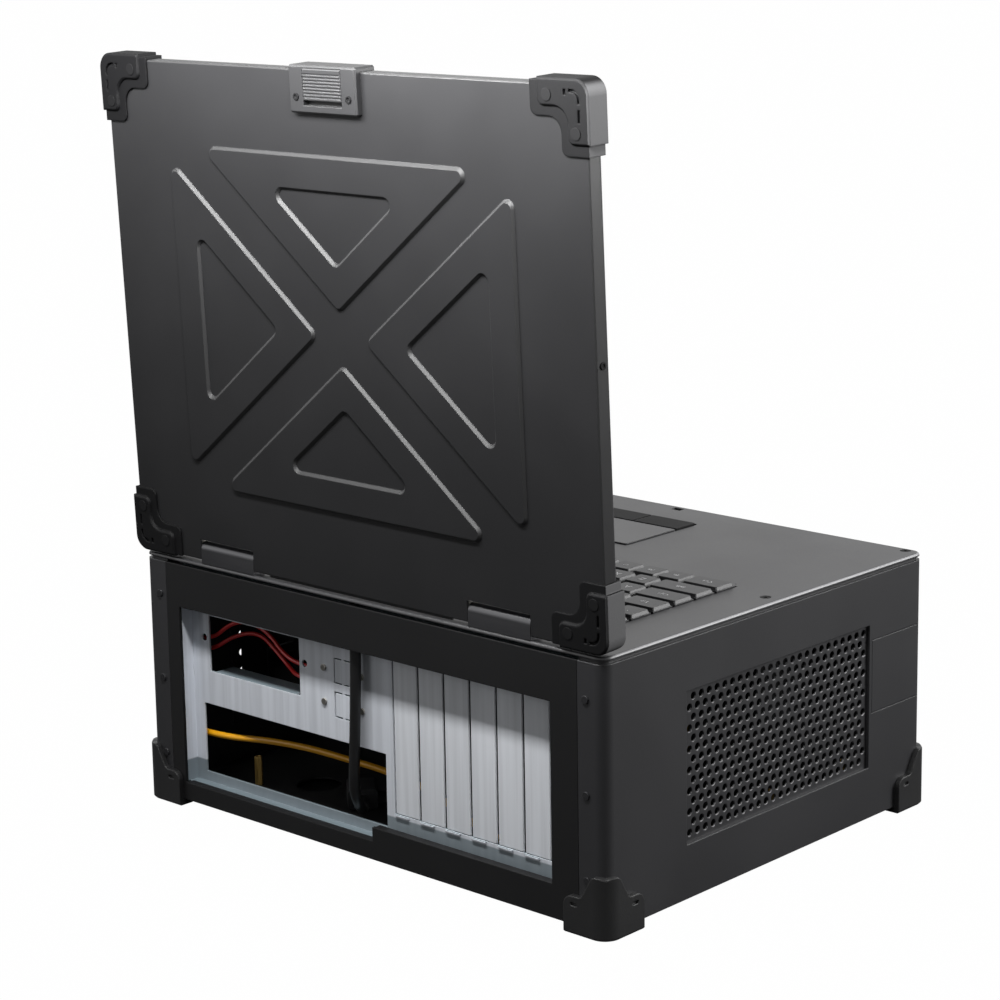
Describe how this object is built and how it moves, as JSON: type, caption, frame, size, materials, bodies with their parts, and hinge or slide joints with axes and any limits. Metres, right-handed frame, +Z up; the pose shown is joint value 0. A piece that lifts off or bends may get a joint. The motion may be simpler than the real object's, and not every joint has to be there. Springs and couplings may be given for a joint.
{
  "type": "rugged portable computer",
  "caption": "Deep metal-cased portable computer whose lid carries the display, with rear card slots, side vents, corner guards and a front handle.",
  "frame": {"origin": "on the desk, under the middle of the case's footprint", "axes": "+Y to the rear with the card slots, -Y to the user's side with the handle, +X to the user's right, +Z up"},
  "size_m": [0.3834, 0.3299, 0.4656],
  "materials": {
    "dark_paint": "fine texture powder coat",
    "deck_paint": "satin powder coat",
    "lid_paint": "satin powder coat",
    "zinc_sheet": "galvanised",
    "screw_steel": "zinc plated",
    "dark_steel": "black oxide",
    "bright_metal": "satin",
    "hinge_metal": "anodised",
    "pillar_brass": "turned",
    "guard_rubber": "matt",
    "cable_jacket": "matt",
    "black_plastic": "fine texture",
    "key_plastic": "satin",
    "yellow_plastic": "smooth",
    "red_plastic": "smooth",
    "screen_glass": "anti-glare"
  },
  "bodies": {
    "case": {"bottom_plate": "dark_paint", "side_panel_left": "dark_paint", "side_panel_right": "dark_paint", "vent_plate_left": "dark_paint", "vent_plate_right": "dark_paint", "front_panel": "dark_paint", "rear_frame": "dark_paint", "board_tray": "dark_paint", "handle_brackets": "dark_paint", "deck_plate": "deck_paint", "rear_bulkhead": "zinc_sheet", "slot_covers": "zinc_sheet", "drive_cage": "zinc_sheet", "pan_screws": "screw_steel", "bulkhead_screws": "screw_steel", "handle_pins": "screw_steel", "deck_screws": "dark_steel", "panel_screws": "dark_steel", "hinge_blocks": "hinge_metal", "standoffs": "pillar_brass", "base_guards": "guard_rubber", "display_cable": "cable_jacket", "display_gland": "cable_jacket", "fan_frames": "black_plastic", "keyboard_base": "black_plastic", "touchpad": "black_plastic", "power_switch": "black_plastic", "display_plug": "black_plastic", "supply_plug": "black_plastic", "signal_plug": "black_plastic", "lead_clips": "black_plastic", "supply_lead": "yellow_plastic", "signal_leads": "red_plastic"},
    "lid": {"lid_cover": "lid_paint", "lid_bezel": "dark_paint", "display_panel": "zinc_sheet", "display_glass": "screen_glass", "lid_guards": "guard_rubber", "lid_guard_caps": "guard_rubber", "lid_screws": "dark_steel", "latch_plate": "bright_metal", "hinge_leaves": "screw_steel", "hinge_pins": "screw_steel"},
    "latch": {"latch_button": "bright_metal"},
    "drawer": {"drive_drawer": "dark_paint", "hard_drives": "bright_metal"},
    "rear_fan_rotor": {"fan_rotor_rear": "black_plastic"},
    "front_fan_rotor": {"fan_rotor_front": "black_plastic"},
    "handle": {"carry_handle": "black_plastic"},
    "power_key": {"power_button": "key_plastic"},
    "pad_key_left": {"touch_button_left": "key_plastic"},
    "pad_key_right": {"touch_button_right": "key_plastic"},
    "space_key": {"space_bar": "key_plastic"},
    "enter": {"enter_key": "key_plastic"},
    "function_row": {"function_row_keys": "key_plastic"},
    "number_row": {"number_row_keys": "key_plastic"},
    "tab_row": {"tab_row_keys": "key_plastic"},
    "caps_row": {"caps_row_keys": "key_plastic"},
    "shift_row": {"shift_row_keys": "key_plastic"},
    "ctrl_row": {"ctrl_row_keys": "key_plastic"}
  },
  "joints": [
    {"name": "lid_hinge", "type": "hinge", "parent": "case", "child": "lid", "pos_m": [0, 0.144, 0.1678], "axis": [1, 0, 0], "range_deg": [-7.6, 92.4]},
    {"name": "latch_slide", "type": "slide", "parent": "lid", "child": "latch", "axis": [0, -0.0419, -0.9991], "range_m": [0, 0.0025]},
    {"name": "drawer_slide", "type": "slide", "parent": "case", "child": "drawer", "axis": [0, -1, 0], "range_m": [0, 0.095]},
    {"name": "rear_fan_spin", "type": "hinge", "parent": "case", "child": "rear_fan_rotor", "pos_m": [0.1738, 0.0356, 0.0815], "axis": [1, 0, 0], "continuous": true},
    {"name": "front_fan_spin", "type": "hinge", "parent": "case", "child": "front_fan_rotor", "pos_m": [0.1738, -0.047, 0.0815], "axis": [1, 0, 0], "continuous": true},
    {"name": "handle_swing", "type": "hinge", "parent": "case", "child": "handle", "pos_m": [0, -0.159, 0.104], "axis": [-1, 0, 0], "range_deg": [0, 110]},
    {"name": "power_press", "type": "slide", "parent": "case", "child": "power_key", "axis": [0, 0, -1], "range_m": [0, 0.0012], "stiffness_N_per_m": 800, "springref_m": -0.001},
    {"name": "pad_left_press", "type": "slide", "parent": "case", "child": "pad_key_left", "axis": [0, 0, -1], "range_m": [0, 0.0008], "stiffness_N_per_m": 600, "springref_m": -0.001},
    {"name": "pad_right_press", "type": "slide", "parent": "case", "child": "pad_key_right", "axis": [0, 0, -1], "range_m": [0, 0.0008], "stiffness_N_per_m": 600, "springref_m": -0.001},
    {"name": "space_key_press", "type": "slide", "parent": "case", "child": "space_key", "axis": [0, 0, -1], "range_m": [0, 0.002], "stiffness_N_per_m": 500, "springref_m": -0.002},
    {"name": "enter_press", "type": "slide", "parent": "case", "child": "enter", "axis": [0, 0, -1], "range_m": [0, 0.002], "stiffness_N_per_m": 500, "springref_m": -0.002},
    {"name": "function_row_press", "type": "slide", "parent": "case", "child": "function_row", "axis": [0, 0, -1], "range_m": [0, 0.002], "stiffness_N_per_m": 500, "springref_m": -0.002},
    {"name": "number_row_press", "type": "slide", "parent": "case", "child": "number_row", "axis": [0, 0, -1], "range_m": [0, 0.002], "stiffness_N_per_m": 500, "springref_m": -0.002},
    {"name": "tab_row_press", "type": "slide", "parent": "case", "child": "tab_row", "axis": [0, 0, -1], "range_m": [0, 0.002], "stiffness_N_per_m": 500, "springref_m": -0.002},
    {"name": "caps_row_press", "type": "slide", "parent": "case", "child": "caps_row", "axis": [0, 0, -1], "range_m": [0, 0.002], "stiffness_N_per_m": 500, "springref_m": -0.002},
    {"name": "shift_row_press", "type": "slide", "parent": "case", "child": "shift_row", "axis": [0, 0, -1], "range_m": [0, 0.002], "stiffness_N_per_m": 500, "springref_m": -0.002},
    {"name": "ctrl_row_press", "type": "slide", "parent": "case", "child": "ctrl_row", "axis": [0, 0, -1], "range_m": [0, 0.002], "stiffness_N_per_m": 500, "springref_m": -0.002}
  ]
}
